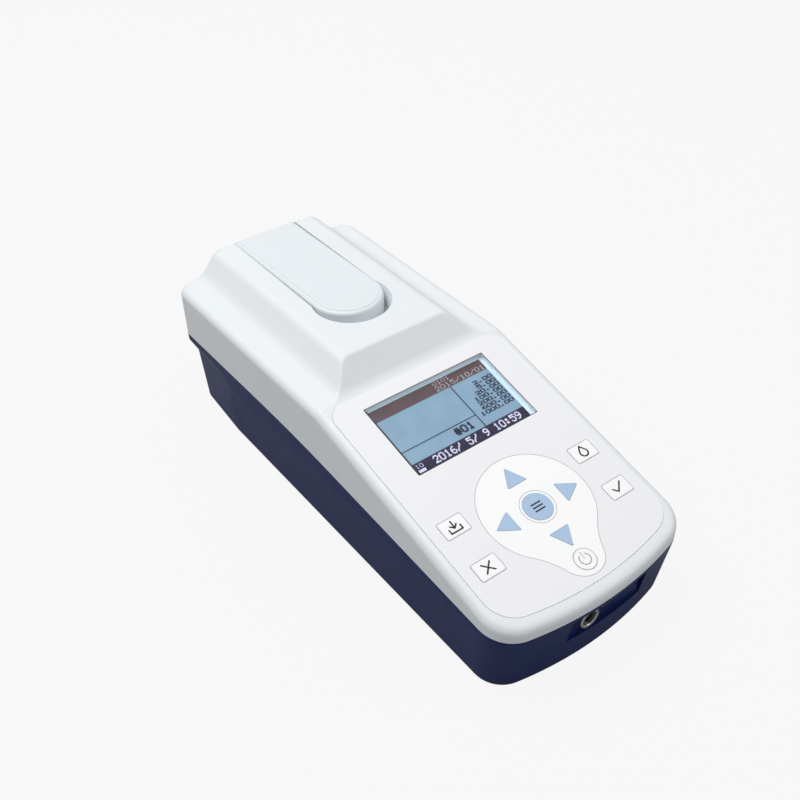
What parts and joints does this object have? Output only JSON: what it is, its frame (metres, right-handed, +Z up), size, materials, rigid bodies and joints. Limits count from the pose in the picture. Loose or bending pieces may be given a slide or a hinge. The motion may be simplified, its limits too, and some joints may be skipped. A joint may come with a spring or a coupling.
{
  "type": "turbidity meter",
  "caption": "Portable turbidity meter: sloping keypad and display in front, raised hump behind with a hinged lid over a round sample well.",
  "frame": {"origin": "on the resting surface, under the middle of the case", "axes": "+X to the right of a person at the keypad, +Y to the back, +Z up; the ports face -Y"},
  "size_m": [0.1178, 0.2898, 0.0949],
  "materials": {
    "shell_white": "fine moulded satin",
    "lid_white": "fine moulded satin",
    "case_blue": "fine moulded satin",
    "gasket_black": "soft",
    "steel": "bright",
    "foam_black": "matt foam",
    "overlay_film": "smooth film",
    "key_blue": "smooth film",
    "key_white": "smooth film",
    "board_green": "solder mask",
    "dome_steel": "bright",
    "window_clear": "polished",
    "frame_black": "matt",
    "display_panel": "display",
    "backlight_white": "diffuse",
    "connector_black": "matt",
    "ribbon_grey": "flat",
    "chip_black": "matt",
    "optics_black": "matt",
    "holder_aluminium": "turned",
    "lamp_clear": "clear",
    "lens_glass": "polished",
    "detector_can": "plated",
    "cell_wrap": "printed wrap",
    "contact_nickel": "plated",
    "contact_brass": "bright",
    "rubber_black": "matt"
  },
  "bodies": {
    "case": {"upper_case": "shell_white", "lower_case": "case_blue", "case_gasket": "gasket_black", "lid_hinge_pin": "steel", "panel_overlay": "overlay_film", "keypad_board": "board_green", "keypad_domes": "dome_steel", "display_window": "window_clear", "display_frame": "frame_black", "display_glass": "display_panel", "display_backlight": "backlight_white", "display_board": "board_green", "link_connectors": "connector_black", "link_ribbon": "ribbon_grey", "main_board": "board_green", "board_chips": "chip_black", "case_screws": "steel", "board_screws": "steel", "panel_screws": "steel", "optics_screws": "steel", "optical_block": "optics_black", "cell_well": "optics_black", "cell_spring": "steel", "well_collar": "optics_black", "lamp_holder": "holder_aluminium", "lamp": "lamp_clear", "collimating_lens": "lens_glass", "transmitted_detector": "detector_can", "scatter_detector": "detector_can", "optics_board": "board_green", "battery_cells": "cell_wrap", "battery_contacts": "contact_nickel", "battery_door": "case_blue", "door_screw": "steel", "dc_jack_body": "connector_black", "dc_jack_pin": "contact_brass", "dc_jack_nut": "contact_nickel", "usb_socket": "contact_nickel", "usb_tongue": "connector_black", "light_pipe": "connector_black", "rubber_feet": "rubber_black"},
    "lid": {"sample_lid": "lid_white", "lid_light_seal": "foam_black"},
    "key_up": {"key_up": "key_blue"},
    "key_down": {"key_down": "key_blue"},
    "key_left": {"key_left": "key_blue"},
    "key_right": {"key_right": "key_blue"},
    "key_menu": {"key_menu": "key_blue"},
    "key_power": {"key_power": "key_white"},
    "key_save": {"key_save": "key_white"},
    "key_cancel": {"key_cancel": "key_white"},
    "key_measure": {"key_measure": "key_white"},
    "key_confirm": {"key_confirm": "key_white"}
  },
  "joints": [
    {"name": "lid_hinge", "type": "hinge", "parent": "case", "child": "lid", "pos_m": [0, 0.138, 0.08848], "axis": [-1, 0, 0], "range_deg": [0, 100]},
    {"name": "key_up_press", "type": "slide", "parent": "case", "child": "key_up", "axis": [0, 0.225, -0.9744], "range_m": [0, 0.0004], "stiffness_N_per_m": 3000},
    {"name": "key_down_press", "type": "slide", "parent": "case", "child": "key_down", "axis": [0, 0.225, -0.9744], "range_m": [0, 0.0004], "stiffness_N_per_m": 3000},
    {"name": "key_left_press", "type": "slide", "parent": "case", "child": "key_left", "axis": [0, 0.225, -0.9744], "range_m": [0, 0.0004], "stiffness_N_per_m": 3000},
    {"name": "key_right_press", "type": "slide", "parent": "case", "child": "key_right", "axis": [0, 0.225, -0.9744], "range_m": [0, 0.0004], "stiffness_N_per_m": 3000},
    {"name": "key_menu_press", "type": "slide", "parent": "case", "child": "key_menu", "axis": [0, 0.225, -0.9744], "range_m": [0, 0.0004], "stiffness_N_per_m": 3000},
    {"name": "key_power_press", "type": "slide", "parent": "case", "child": "key_power", "axis": [0, 0.225, -0.9744], "range_m": [0, 0.0004], "stiffness_N_per_m": 3000},
    {"name": "key_save_press", "type": "slide", "parent": "case", "child": "key_save", "axis": [0, 0.225, -0.9744], "range_m": [0, 0.0004], "stiffness_N_per_m": 3000},
    {"name": "key_cancel_press", "type": "slide", "parent": "case", "child": "key_cancel", "axis": [0, 0.225, -0.9744], "range_m": [0, 0.0004], "stiffness_N_per_m": 3000},
    {"name": "key_measure_press", "type": "slide", "parent": "case", "child": "key_measure", "axis": [0, 0.225, -0.9744], "range_m": [0, 0.0004], "stiffness_N_per_m": 3000},
    {"name": "key_confirm_press", "type": "slide", "parent": "case", "child": "key_confirm", "axis": [0, 0.225, -0.9744], "range_m": [0, 0.0004], "stiffness_N_per_m": 3000}
  ]
}
